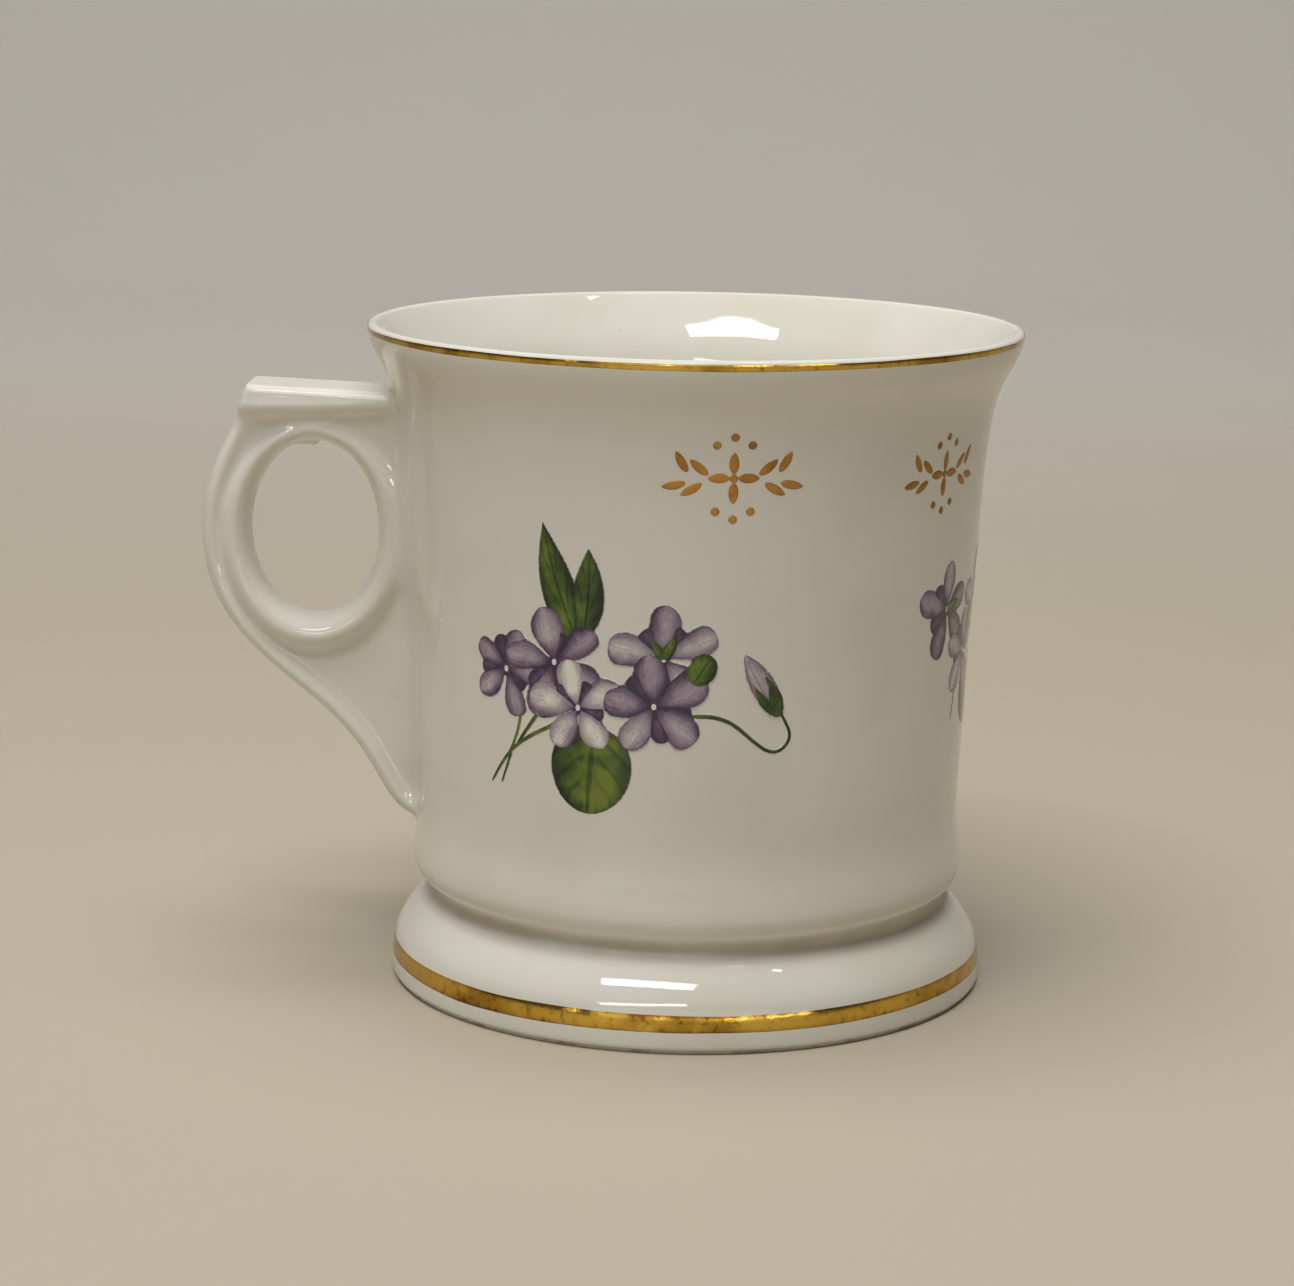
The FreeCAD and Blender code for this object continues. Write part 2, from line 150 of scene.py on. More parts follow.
# Brushed gold bands: lower and upper edge, how far the edges wander, seed
BANDS = {"rim_gilt": ((87.8, 88.55), 0.10, 3), "foot_gilt": ((2.9, 5.1), 0.12, 8)}
# Rows across a band, waves in its edges, and the lift of its edges and more in its middle, as shares of GILT
BAND_ROWS = 9
BAND_WAVES = 12
BAND_EDGE = 0.2
BAND_CROWN = 0.4
WAVE_PHASES = (0, 6.28)

# Sprays. Blossoms: turn, height, radius, angle of the first petal, tone
# Buds: turn and height of the base, angle, length, half width, tone
# Leaves, under and over the blossoms: turn and height of the base, angle, length, half width, tone, roundness
# of base and tip, bend
# Stems: places on the wall, half width
SPRAYS = {
    "front": (
        [(-38.4, 47.6, 6.2, 70, 0.30), (-27.0, 49.4, 7.2, 108, 0.5), (-5.0, 50.8, 7.6, 92, 0.62),
         (-22.0, 43.8, 6.4, 100, 0.95), (-6.8, 44.6, 6.8, 28, 0.45)],
        [(17.8, 43.4, 121, 9.2, 2.0, 0.55)],
        [(-18.5, 41.6, 262, 11.6, 5.6, 0.7, 0.42, 0.5, 0.05),
         (-21.8, 52.0, 114, 16.0, 2.6, 0.25, 0.7, 1.0, -0.12),
         (-21.0, 52.6, 77, 11.8, 2.3, 0.45, 0.7, 0.9, 0.14)],
        [(0.6, 47.6, 58, 4.4, 1.9, 0.3, 0.45, 0.45, 0.0), (-5.0, 50.8, 58, 3.6, 0.75, 0.6, 0.5, 1.0, 0.1),
         (-5.0, 50.8, 126, 3.0, 0.6, 0.5, 0.5, 1.0, -0.1)],
        [([(-34.6, 43.2), (-36.6, 38.4), (-38.6, 36.0)], 0.30),
         ([(-26.2, 41.6), (-28.5, 40.8), (-36.4, 37.6), (-43.0, 32.2)], 0.34),
         ([(-37.4, 36.8), (-40.2, 32.4)], 0.26),
         ([(-29.4, 43.6), (-33.0, 40.6), (-36.2, 37.7)], 0.36),
         ([(-2.0, 43.2), (1.4, 43.5), (7.2, 42.9), (13.0, 40.0), (17.4, 38.8), (19.8, 40.4), (18.9, 42.6),
           (17.3, 44.4)], 0.34)]),
    "side": (
        [(61.0, 54.2, 6.8, 100, 0.3), (82.0, 53.4, 6.8, 95, 0.5), (72.5, 47.6, 6.0, 20, 0.55)],
        [(95.0, 45.4, 62, 8.0, 1.8, 0.5)],
        [(80.0, 45.2, 268, 8.6, 4.4, 0.65, 0.42, 0.5, -0.05),
         (84.0, 52.0, 84, 9.5, 2.2, 0.4, 0.7, 0.9, 0.1)],
        [(82.0, 53.4, 50, 3.2, 0.7, 0.6, 0.5, 1.0, 0.1), (61.0, 54.2, 8, 3.8, 0.8, 0.5, 0.5, 1.0, 0.1)],
        [([(68.0, 49.0), (69.0, 43.5), (67.5, 38.5)], 0.32),
         ([(84.0, 47.0), (89.5, 41.8), (94.6, 45.6)], 0.32)]),
}
SPRAY_SEEDS = {"front": 5, "side": 11}
# A blossom: radius of its throat and its eye, its petals' lengths as shares of its radius, their half widths
# as shares of their length, and how far their angles and tones stray. Shaded petals lie under them, and their
# half width is a share of the blossom's radius
PETALS = 5
PETAL_STEP = 360 / PETALS
THROAT = 1.0
EYE = 0.42
PETAL_LENGTHS = (0.9, 1.12)
PETAL_HALVES = (0.26, 0.35)
PETAL_SWAY = 9
TONE_SWAY = 0.2
SHADED_PETALS = 3
SHADED_LENGTHS = (0.55, 0.72)
SHADED_HALF = 0.24
SHADED_SWAY = 8
SHADED_TONES = (0.4, 1)
# A petal: roundness of base and tip, gap at its base, size and number of its edge's ripples, greatest bend
PETAL_ROOT = 0.9
PETAL_TIPS = (0.36, 0.6)
PETAL_GAP = 0.05
PETAL_RIPPLE = 0.06
PETAL_RIPPLES = 9
RIPPLE_PHASES = (0, 6)
PETAL_BEND = 0.1
# A bud: its petals' angles and half widths, and its sepals' angles and lengths, beside its own
BUD_PETALS = [(-12, 0.62), (12, 0.62), (0, 0.55)]
BUD_SEPALS = [(-22, 0.62), (24, 0.58), (2, 0.5)]
SEPAL_HALF = 0.42
SEPAL_BEND = 0.25
BUD_TONE_SLOPE = 0.01
# A stem narrows by this share from its foot to its end
STEM_TAPER = 0.35
STEM_STEP = 0.3
STEM_TONES = (0.2, 0.8)

# Gold ornaments: turn, height and scale, then their parts. A petal is its distance from the middle, half
# length and half width, and a sprig's leaf is two offsets and an angle
ORNAMENTS = {"gilt_ornament_front": (7.3, 74.0, 1.0), "gilt_ornament_side": (55.0, 72.6, 0.92)}
ORNAMENT_PETAL = (1.9, 1.35, 0.62)
SPRIG_LEAVES = [(4.4, 1.3, 35), (5.2, -1.5, -35), (6.6, 2.0, 55), (7.4, -1.0, -15)]
SPRIG_LEAF = (1.5, 0.55)
SPRIG_BEND = 0.08
ORNAMENT_DOTS = [(0, 5.2), (0, -5.2), (2.2, 4.2), (-2.2, 4.2), (2.2, -4.2), (-2.2, -4.2), (0, 0)]
DOT_HALF = 0.55


def spline(points, step, start=None, end=None):
    """Points about step apart on a smooth curve through the given ones; start and end are its tangents."""
    p = np.array(points, float)
    t = np.concatenate([[0], np.cumsum(np.linalg.norm(np.diff(p, axis=0), axis=1))])
    h = np.diff(t)
    slope = np.diff(p, axis=0) / h[:, None]
    n = len(p)
    system = np.eye(n)
    bend = np.zeros_like(p)
    for i in range(1, n - 1):
        system[i, i - 1:i + 2] = h[i - 1], 2 * (h[i - 1] + h[i]), h[i]
        bend[i] = 6 * (slope[i] - slope[i - 1])
    if start is not None:
        system[0, :2] = 2 * h[0], h[0]
        bend[0] = 6 * (slope[0] - np.array(start) / np.linalg.norm(start))
    if end is not None:
        system[-1, -2:] = h[-1], 2 * h[-1]
        bend[-1] = 6 * (np.array(end) / np.linalg.norm(end) - slope[-1])
    curvature = np.linalg.solve(system, bend)
    s = np.linspace(0, t[-1], max(2, math.ceil(t[-1] / step) + 1))
    k = np.clip(np.searchsorted(t, s) - 1, 0, n - 2)
    a = ((t[k + 1] - s) / h[k])[:, None]
    b = 1 - a
    span = (h[k] ** 2)[:, None] / 6
    return a * p[k] + b * p[k + 1] + span * ((a ** 3 - a) * curvature[k] + (b ** 3 - b) * curvature[k + 1])


def arc(centre, radius, first, last, count):
    """Points of a circular arc, angles in degrees from +radius towards +height."""
    angles = np.radians(np.linspace(first, last, count))
    return np.column_stack([centre[0] + radius * np.cos(angles), centre[1] + radius * np.sin(angles)])


def outside_profile():
    """Outside of the cup from the groove up to the lip."""
    low = spline(SHOULDER, PROFILE_STEP, start=(1, 1), end=(0, 1))
    lip = (LIP_RADIUS, HEIGHT - LIP_ROUND)
    high = spline([SHOULDER[-1]] + WALL + [lip], PROFILE_STEP, start=(0, 1), end=(0, 1))
    return np.vstack([low, high[1:]])


OUTSIDE = outside_profile()
# Outside of the foot from the groove down to its lower corner
FLARE = spline(FOOT_FLARE, PROFILE_STEP, start=FLARE_START, end=(0, -1))


def wall_radius(height):
    """Outer radius of the cup at a height."""
    return np.interp(height, OUTSIDE[:, 1], OUTSIDE[:, 0])


def add_object(name, data):
    """A new object in the scene."""
    made = bpy.data.objects.new(name, data)
    bpy.context.scene.collection.objects.link(made)
    return made


def mesh_object(name, verts, faces, crease=CREASE):
    """A smooth-shaded object from millimetre vertices, with edges sharper than crease degrees kept sharp."""
    mesh = bpy.data.meshes.new(name)
    mesh.from_pydata((np.asarray(verts) * MM).tolist(), [], faces)
    mesh.validate()
    mesh.shade_smooth()
    mesh.set_sharp_from_angle(angle=math.radians(crease))
    return add_object(name, mesh)


def lathe(name, outline):
    """A closed solid turned from rows of (radius, height), which end on the axis or make a loop."""
    rings = []
    verts = []
    for radius, height in outline:
        if radius < TINY:
            rings.append([len(verts)] * LATHE_TURNS)
            verts.append((0, 0, height))
            continue
        rings.append(list(range(len(verts), len(verts) + LATHE_TURNS)))
        for k in range(LATHE_TURNS):
            turn = 2 * math.pi * k / LATHE_TURNS
            verts.append((radius * math.cos(turn), radius * math.sin(turn), height))
    pairs = list(zip(rings, rings[1:]))
    if outline[0][0] > TINY:
        pairs.append((rings[-1], rings[0]))
    faces = []
    for low, high in pairs:
        for k in range(LATHE_TURNS):
            after = (k + 1) % LATHE_TURNS
            corners = [low[k], low[after], high[after], high[k]]
            faces.append(list(dict.fromkeys(corners)))
    return mesh_object(name, verts, faces)


def cup():
    """Cup from its underside's middle, up the outside, over the lip and down the bore to the floor."""
    lip = arc((LIP_RADIUS - LIP_ROUND, HEIGHT - LIP_ROUND), LIP_ROUND, 0, LIP_REACH, 13)
    corner_top = (BORE_FOOT_RADIUS, FLOOR_TOP + FLOOR_CORNER)
    corner = arc((corner_top[0] - FLOOR_CORNER, corner_top[1]), FLOOR_CORNER, 0, -90, 14)
    inward = (-math.tan(math.radians(LIP_REACH)), 1)
    bore = spline([corner_top] + BORE + [tuple(lip[-1])], PROFILE_STEP, start=BORE_START, end=inward)[::-1]
    underside = [(0, GROOVE_Z), (FLOOR_MIDDLE, GROOVE_Z)]
    underside += [(SEAM_BACK, GROOVE_Z), (SEAM_BACK, GROOVE_Z + SEAM_HALF)]
    floor = [(FLOOR_MIDDLE, FLOOR_TOP), (0, FLOOR_TOP)]
    return lathe("cup", np.vstack([underside, OUTSIDE, lip[1:], bore[1:], corner[1:], floor]))


def foot():
    """Hollow foot skirt, from the groove down the flare and up its recess."""
    corner = arc((FOOT_RADIUS - FOOT_CORNER, RING_HEIGHT + FOOT_CORNER), FOOT_CORNER, 0, -90, 7)
    recess = spline(FOOT_RECESS, 2 * PROFILE_STEP)
    root = [(SEAM_BACK, GROOVE_Z), (SEAM_BACK, GROOVE_Z - SEAM_HALF)]
    return lathe("foot", np.vstack([FLARE, corner[1:], recess, root])[::-1])


def seam():
    """Glazed-over ring of slip with a hollow face, in the groove."""
    sagitta = SEAM_LIP - GROOVE_RADIUS
    radius = (SEAM_HALF ** 2 + sagitta ** 2) / (2 * sagitta)
    reach = math.degrees(math.asin(SEAM_HALF / radius))
    hollow = arc((GROOVE_RADIUS + radius, GROOVE_Z), radius, 180 + reach, 180 - reach, 9)
    back = [(SEAM_BACK, GROOVE_Z + SEAM_HALF), (SEAM_BACK, GROOVE_Z - SEAM_HALF)]
    return lathe("foot_seam", np.vstack([hollow, back]))


def standing_ring():
    """Unglazed ring under the foot, its edges worn round."""
    outer = FOOT_RADIUS - FOOT_CORNER
    inner = FOOT_RECESS[0][0]
    inner_edge = arc((inner + RING_WORN, RING_WORN), RING_WORN, 180, 270, 5)
    outer_edge = arc((outer - RING_WORN, RING_WORN), RING_WORN, -90, 0, 5)
    inner_side = [(inner, RING_HEIGHT), (inner, RING_WORN)]
    return lathe("standing_ring", np.vstack([inner_side, inner_edge, outer_edge, [(outer, RING_HEIGHT)]]))


def band(name, profile):
    """A painted gold line on a lathe profile, whose two edges wander a little as a brushed line does."""
    limits, wander, seed = BANDS[name]
    rng = np.random.default_rng(seed)
    turns = np.linspace(0, 2 * np.pi, LATHE_TURNS * 2, endpoint=False)
    edges = []
    for limit in limits:
        drift = 0
        for k in range(BAND_WAVES):
            drift = drift + rng.normal() / (1 + k) * np.sin((k + 1) * turns * 2 + rng.uniform(*WAVE_PHASES))
        edges.append(limit + wander * drift / 2)
    upwards = profile[np.argsort(profile[:, 1])]
    rows = []
    for v in np.linspace(0, 1, BAND_ROWS):
        rows.append((v, GILT * (BAND_EDGE + BAND_CROWN * (1 - (2 * v - 1) ** 2))))
    rows += [(1, -GILT), (0, -GILT)]
    verts = []
    marks = []
    for v, lift in rows:
        z = edges[0] * (1 - v) + edges[1] * v
        r = np.interp(z, upwards[:, 1], upwards[:, 0]) + lift
        verts.append(np.column_stack([r * np.cos(turns), r * np.sin(turns), z]))
        marks.append(np.column_stack([turns, np.full_like(turns, 2 * v - 1), np.zeros_like(turns)]))
    grid = np.arange(len(rows) * len(turns)).reshape(len(rows), len(turns))
    beside = np.roll(grid, -1, axis=1)
    above = np.roll(grid, -1, axis=0)
    across = np.roll(beside, -1, axis=0)
    faces = np.stack([grid, beside, across, above], axis=2).reshape(-1, 4).tolist()
    piece = mesh_object(name, np.vstack(verts), faces)
    mark(piece, np.vstack(marks))
    return piece


def mark(piece, values):
    """Stores (along, across, tone) at each vertex for the material."""
    layer = piece.data.attributes.new("stroke", "FLOAT_VECTOR", "POINT")
    layer.data.foreach_set("vector", np.asarray(values, np.float32).ravel())


# Handle: one smooth solid worked out as a distance field, with soft hollows between its ribs


def ease(value, span):
    """0 below a span of values, 1 above it, smooth between."""
    t = np.clip((value - span[0]) / (span[1] - span[0]), 0, 1)
    return t * t * (3 - 2 * t)


def smooth_min(a, b, reach):
    """The lesser of two distances, blended where they differ by less than reach."""
    h = np.maximum(reach - np.abs(a - b), 0) / reach
    return np.minimum(a, b) - h ** 3 * reach / 6


def polyline_distance(points, x, z, closed):
    """Distance from each (x, z) to a polyline, positive on its left."""
    ends = np.roll(points, -1, axis=0) if closed else points[1:]
    starts = points if closed else points[:-1]
    best = np.full(x.shape, FAR)
    side = np.ones(x.shape)
    for a, b in zip(starts, ends):
        run = b - a
        px, pz = x - a[0], z - a[1]
        along = np.clip((px * run[0] + pz * run[1]) / (run @ run), 0, 1)
        dx, dz = px - along * run[0], pz - along * run[1]
        gap = np.hypot(dx, dz)
        nearer = gap < best
        best = np.where(nearer, gap, best)
        side = np.where(nearer, np.sign(run[0] * dz - run[1] * dx), side)
    return best * np.where(side == 0, 1, side)


def oval_section(out, y, radial, half):
    """Distance to a bar whose section is an oval, radial across and half wide."""
    share = np.sqrt((out / radial) ** 2 + (y / half) ** 2) + TINY
    slope = np.sqrt((out / radial ** 2) ** 2 + (y / half ** 2) ** 2) + TINY
    return share * (share - 1) / slope


def convex_distance(corners, x, z):
    """Distance to a convex outline whose corners run clockwise."""
    reach = np.full(x.shape, -FAR)
    for a, b in zip(corners, corners[1:] + corners[:1]):
        run = np.array(b) - np.array(a)
        normal = np.array([-run[1], run[0]]) / np.hypot(*run)
        reach = np.maximum(reach, (x - a[0]) * normal[0] + (z - a[1]) * normal[1])
    return reach


def overlap(a, b, rounding):
    """Distance to the part two solids share, the edge between them rounded."""
    a, b = a + rounding, b + rounding
    return np.minimum(np.maximum(a, b), 0) + np.hypot(np.maximum(a, 0), np.maximum(b, 0)) - rounding


def ribs_field(out, y, z):
    """Web, bead and spine, blended: out and z are the side view's plane, y runs across it."""
    edge = polyline_distance(spline(OUTER_EDGE, OUTER_STEP)[::-1], out, z, False)[:, None, :]
    angles = np.linspace(0, 2 * np.pi, HOLE_POINTS, endpoint=False)
    oval = np.column_stack([HOLE_CENTRE[0] + HOLE_HALF[0] * np.cos(angles),
                            HOLE_CENTRE[1] + HOLE_HALF[1] * np.sin(angles)])
    hole = polyline_distance(oval[::-1], out, z, True)[:, None, :]
    drop = np.clip((HOLE_CENTRE[1] - z) / HOLE_HALF[1], -BEAD_SWELL_LIMIT, BEAD_SWELL_LIMIT)
    radial = (BEAD_RADIAL + BEAD_SWELL * drop)[:, None, :]
    height = z[:, None, :]
    bead = oval_section(hole - radial, y, radial, BEAD_HALF)
    spine = np.maximum(oval_section(edge - SPINE_RADIAL, y, SPINE_RADIAL, SPINE_HALF), height - RIB_TOP)
    web_half = WEB_HALF + WEB_SPREAD * ease(height, WEB_SPREAD_HEIGHTS)
    web = np.maximum(np.maximum(np.abs(y) - web_half, SPINE_RADIAL - edge), radial - hole)
    web = np.maximum(web, height - RIB_TOP)
    return smooth_min(smooth_min(web, bead, RIB_BLEND), spine, RIB_BLEND)


def handle_field(x, y, z):
    """The handle's distance field and the cup wall's, on a grid of axis values."""
    out, up = np.broadcast_arrays(-x[:, None], z[None, :])
    across = y[None, :, None]
    height = z[None, None, :]
    body = ribs_field(out, across, up)
    plan = overlap(out[:, None, :] - THUMB_END, np.abs(across) - THUMB_HALF, THUMB_CORNER)
    thumb = overlap(convex_distance(THUMB_OUTLINE, out, up)[:, None, :], plan, THUMB_ROUND)
    blend = THUMB_BLEND[0] + (THUMB_BLEND[1] - THUMB_BLEND[0]) * ease(height, THUMB_BLEND_HEIGHTS)
    body = smooth_min(body, thumb, blend)
    for dx, dy, dz, size in NIB:
        gap = np.sqrt((out[:, None, :] - HOLE_CENTRE[0] - dx) ** 2 + (across - dy) ** 2
                      + (up[:, None, :] - HOLE_CENTRE[1] - HOLE_HALF[1] - dz) ** 2)
        body = smooth_min(body, gap - size, NIB_BLEND)
    wall = np.hypot(x[:, None, None], across) - wall_radius(z)[None, None, :]
    return body, wall


def handle():
    """Handle with its slip fillets, closed just inside the cup's wall."""
    low, high = HANDLE_BLOCK
    axes = [np.arange(low[i], high[i], VOXEL) for i in range(3)]
    body, wall = handle_field(*axes)
    reach = FILLET[0] + (FILLET[1] - FILLET[0]) * ease(axes[2], FILLET_HEIGHTS)
    reach = reach * (FILLET_TAIL + (1 - FILLET_TAIL) * ease(axes[2], FILLET_TAIL_HEIGHTS))
    reach = reach[None, None, :]
    field = smooth_min(body, wall, reach) + SUNK
    field = np.maximum(field, -HANDLE_ROOT - wall)
    field = np.maximum(field, body - reach * FILLET_SHARE).astype(np.float32)
    grid = openvdb.FloatGrid()
    grid.copyFromArray(field)
    points, quads = grid.convertToQuads(0.0)
    places = np.asarray(points, float)
    slopes = np.gradient(field, VOXEL)
    for _ in range(SETTLING):
        normal = np.stack([trilinear(s, places) for s in slopes], axis=1)
        length = np.maximum(np.linalg.norm(normal, axis=1), LEAST_SLOPE)
        step = np.clip(trilinear(field, places) / length ** 2, -VOXEL, VOXEL)
        places -= step[:, None] * normal / VOXEL
    faces = [list(map(int, quad)) for quad in quads]
    piece = mesh_object("handle_ear", low + places * VOXEL, faces, crease=SOFT_CREASE)
    face_outwards(piece)
    return piece


def trilinear(values, places):
    """Values of a grid read between its cells."""
    shape = np.array(values.shape)
    base = np.clip(np.floor(places).astype(int), 0, shape - 2)
    part = places - base
    total = np.zeros(len(places))
    for corner in range(8):
        bits = np.array([corner >> 2 & 1, corner >> 1 & 1, corner & 1])
        weight = np.prod(np.where(bits, part, 1 - part), axis=1)
        at = base + bits
        total += weight * values[at[:, 0], at[:, 1], at[:, 2]]
    return total


def face_outwards(piece):
    """Turns a closed mesh right side out if its signed volume is negative."""
    mesh = piece.data
    mesh.calc_loop_triangles()
    co = np.zeros(len(mesh.vertices) * 3)
    mesh.vertices.foreach_get("co", co)
    tri = np.zeros(len(mesh.loop_triangles) * 3, int)
    mesh.loop_triangles.foreach_get("vertices", tri)
    a, b, c = np.moveaxis(co.reshape(-1, 3)[tri.reshape(-1, 3)], 1, 0)
    if np.einsum("ij,ij->", a, np.cross(b, c)) < 0:
        mesh.flip_normals()


# Painted decoration: thin patches of enamel or gold that follow the wall


class Print:
    """Gathers painted patches on the wall, one mesh for each ink, in the order they are painted."""

    def __init__(self):
        self.inks = {}
        self.outlines = []

    def patch(self, ink, turn, path, halves, tone, thick=ENAMEL, across=13):
        """A closed film along a path, rows of (x along the wall, height) about a turn, with half widths."""
        path, halves = np.asarray(path, float), np.asarray(halves, float)
        if halves.ndim == 1:
            halves = np.column_stack([halves, halves])
        ahead = np.gradient(path, axis=0)
        ahead /= np.linalg.norm(ahead, axis=1)[:, None] + TINY
        aside = np.column_stack([-ahead[:, 1], ahead[:, 0]])
        v = np.sin(np.linspace(-np.pi / 2, np.pi / 2, across))
        half = np.where(v[None, :] > 0, halves[:, :1], halves[:, 1:])
        spot = path[:, None, :] + (half * v[None, :])[:, :, None] * aside[:, None, :]
        along = np.broadcast_to(np.linspace(0, 1, len(path))[:, None], half.shape)
        over = np.broadcast_to(v[None, :], half.shape)
        height = spot[:, :, 1]
        angle = math.radians(turn) + spot[:, :, 0] / wall_radius(height)
        flat = np.stack([angle * LIP_RADIUS, height], axis=2)
        inset = np.clip((1 - np.abs(over)) * half / np.minimum(FEATHER, FEATHER_SHARE * half), 0, 1)
        inset = np.maximum(inset, self.covered(flat.reshape(-1, 2)).reshape(half.shape))
        crown = np.sqrt(np.clip(1 - over ** 4, 0, 1)) * (1 - (2 * along - 1) ** 8)
        stack = len(self.outlines) * LAYER_STEP
        verts = []
        for lift in (LAYER_STEP + stack + thick * crown, np.full_like(crown, -thick)):
            radius = wall_radius(height) + lift
            surface = np.stack([radius * np.sin(angle), -radius * np.cos(angle), height], axis=2)
            verts.append(surface.reshape(-1, 3))
        marks = np.stack([along, over, np.full_like(along, tone)], axis=2).reshape(-1, 3)
        films = self.inks.setdefault(ink, {"verts": [], "faces": [], "marks": [], "insets": [], "count": 0})
        films["faces"] += self.skin(films["count"], *half.shape)
        films["verts"] += verts
        films["marks"] += [marks, marks]
        films["insets"] += [inset.ravel(), inset.ravel()]
        films["count"] += 2 * half.size
        self.outlines.append(np.vstack([flat[:, 0], flat[::-1, -1]]))

    def covered(self, places):
        """1 for each place that lies on an earlier patch, else 0."""
        found = np.zeros(len(places), bool)
        for outline in self.outlines:
            x0, y0 = outline.T
            x1, y1 = np.roll(outline, -1, axis=0).T
            x, y = places[:, :1], places[:, 1:]
            spans = (y0 > y) != (y1 > y)
            cross = x0 + (y - y0) * (x1 - x0) / np.where(y1 == y0, 1, y1 - y0)
            found |= (np.sum(spans & (x < cross), axis=1) % 2).astype(bool)
        return found.astype(float)

    @staticmethod
    def skin(first, rows, across):
        """Faces of a film: its top, its underside and the strip round them."""
        top = first + np.arange(rows * across).reshape(rows, across)
        low = top + rows * across
        faces = []
        for i in range(rows - 1):
            for j in range(across - 1):
                faces.append([top[i, j], top[i, j + 1], top[i + 1, j + 1], top[i + 1, j]])
                faces.append([low[i, j], low[i + 1, j], low[i + 1, j + 1], low[i, j + 1]])
        rim_top = np.concatenate([top[0, :], top[1:, -1], top[-1, -2::-1], top[-2:0:-1, 0]])
        rim_low = rim_top + rows * across
        for k in range(len(rim_top)):
            after = (k + 1) % len(rim_top)
            faces.append([rim_top[after], rim_top[k], rim_low[k], rim_low[after]])
        return faces

    def piece(self, ink, name):
        """All films of one ink as an object, with the marks that its material reads."""
        films = self.inks[ink]
        faces = [[int(v) for v in f] for f in films["faces"]]
        made = mesh_object(name, np.vstack(films["verts"]), faces, crease=SOFT_CREASE)
        mark(made, np.vstack(films["marks"]))
        inset = made.data.attributes.new("inset", "FLOAT", "POINT")
        inset.data.foreach_set("value", np.concatenate(films["insets"]))
        face_outwards(made)
        return made


def swelling(count, half, root, tip):
    """Places along a petal or leaf and its half widths there. An end of 0.5 or less is round."""
    s = (1 - np.cos(np.linspace(0, np.pi, count))) / 2
    belly = root / (root + tip)
    width = half * s ** root * (1 - s) ** tip / (belly ** root * (1 - belly) ** tip)
    return s, np.maximum(width, THINNEST)


def ray(x, z, angle, length, s, bend=0.0):
    """A path from (x, z) at an angle in degrees, curving by bend of its length."""
    a = math.radians(angle)
    ahead, aside = s * length, bend * length * s * s
    return np.column_stack([x + ahead * math.cos(a) - aside * math.sin(a),
                            z + ahead * math.sin(a) + aside * math.cos(a)])


def petal(sheet, turn, height, angle, length, half, tone, rng):
    """One petal, blunt at its tip and slightly uneven."""
    s, width = swelling(30, half, PETAL_ROOT, rng.uniform(*PETAL_TIPS))
    ripple = 1 + PETAL_RIPPLE * np.sin(s * PETAL_RIPPLES + rng.uniform(*RIPPLE_PHASES)) * s
    reach = PETAL_GAP + (1 - PETAL_GAP) * s
    path = ray(0, height, angle, length, reach, rng.uniform(-PETAL_BEND, PETAL_BEND))
    sheet.patch("petals", turn, path, np.column_stack([width * ripple, width / ripple]), tone, across=21)


def spot(sheet, turn, height, radius, tone):
    """A round dab."""
    s, width = swelling(16, radius, root=0.5, tip=0.5)
    sheet.patch("petals", turn, ray(0, height - radius, 90, 2 * radius, s), width, tone, across=11)


def blossom(sheet, turn, height, radius, first, tone, rng):
    """Five petals round a pale eye, with a few deep purple ones showing between them."""
    for k in rng.permutation(PETALS)[:SHADED_PETALS]:
        angle = first + PETAL_STEP / 2 + PETAL_STEP * k + rng.uniform(-SHADED_SWAY, SHADED_SWAY)
        petal(sheet, turn, height, angle, radius * rng.uniform(*SHADED_LENGTHS), radius * SHADED_HALF,
              SHADOW_TONE * rng.uniform(*SHADED_TONES), rng)
    spot(sheet, turn, height, THROAT, SHADOW_TONE / 2)
    for k in rng.permutation(PETALS):
        angle = first + PETAL_STEP * k + rng.uniform(-PETAL_SWAY, PETAL_SWAY)
        length = radius * rng.uniform(*PETAL_LENGTHS)
        shade = float(np.clip(tone + rng.uniform(-TONE_SWAY, TONE_SWAY), 0, 1))
        petal(sheet, turn, height, angle, length, length * rng.uniform(*PETAL_HALVES), shade, rng)
    spot(sheet, turn, height, EYE, EYE_TONE)


def leaf(sheet, turn, height, angle, length, half, tone, root, tip, bend):
    """One leaf, from its base at a place on the wall."""
    s, width = swelling(40, half, root, tip)
    sheet.patch("leaves", turn, ray(0, height, angle, length, s, bend), width, tone, across=23)


def bud(sheet, turn, height, angle, length, half, tone):
    """A closed bud: two petals that arch round a middle one and meet at its tip, in a cup of sepals."""
    for swing, share in BUD_PETALS:
        s, width = swelling(26, half * share, root=0.6, tip=0.7)
        arch = -math.tan(math.radians(swing))
        path = ray(0, height, angle + swing, length, s, arch)
        sheet.patch("petals", turn, path, width, tone + BUD_TONE_SLOPE * swing)
    for swing, reach in BUD_SEPALS:
        s, width = swelling(20, half * SEPAL_HALF, root=0.5, tip=0.9)
        path = ray(0, height, angle + swing, reach * length, s, -SEPAL_BEND * np.sign(swing))
        sheet.patch("leaves", turn, path, width, SEPAL_TONE)


def stem(sheet, places, half, tone):
    """A painted stalk through (turn, height) places, thinner towards its end."""
    middle = sum(turn for turn, _ in places) / len(places)
    points = [(math.radians(turn - middle) * wall_radius(height), height) for turn, height in places]
    path = spline(points, STEM_STEP)
    s = np.linspace(0, 1, len(path))
    halves = half * (1 - STEM_TAPER * s) * np.sqrt(np.clip(1 - (2 * s - 1) ** 12, 0.01, 1))
    sheet.patch("stems", middle, path, halves, tone, across=7)


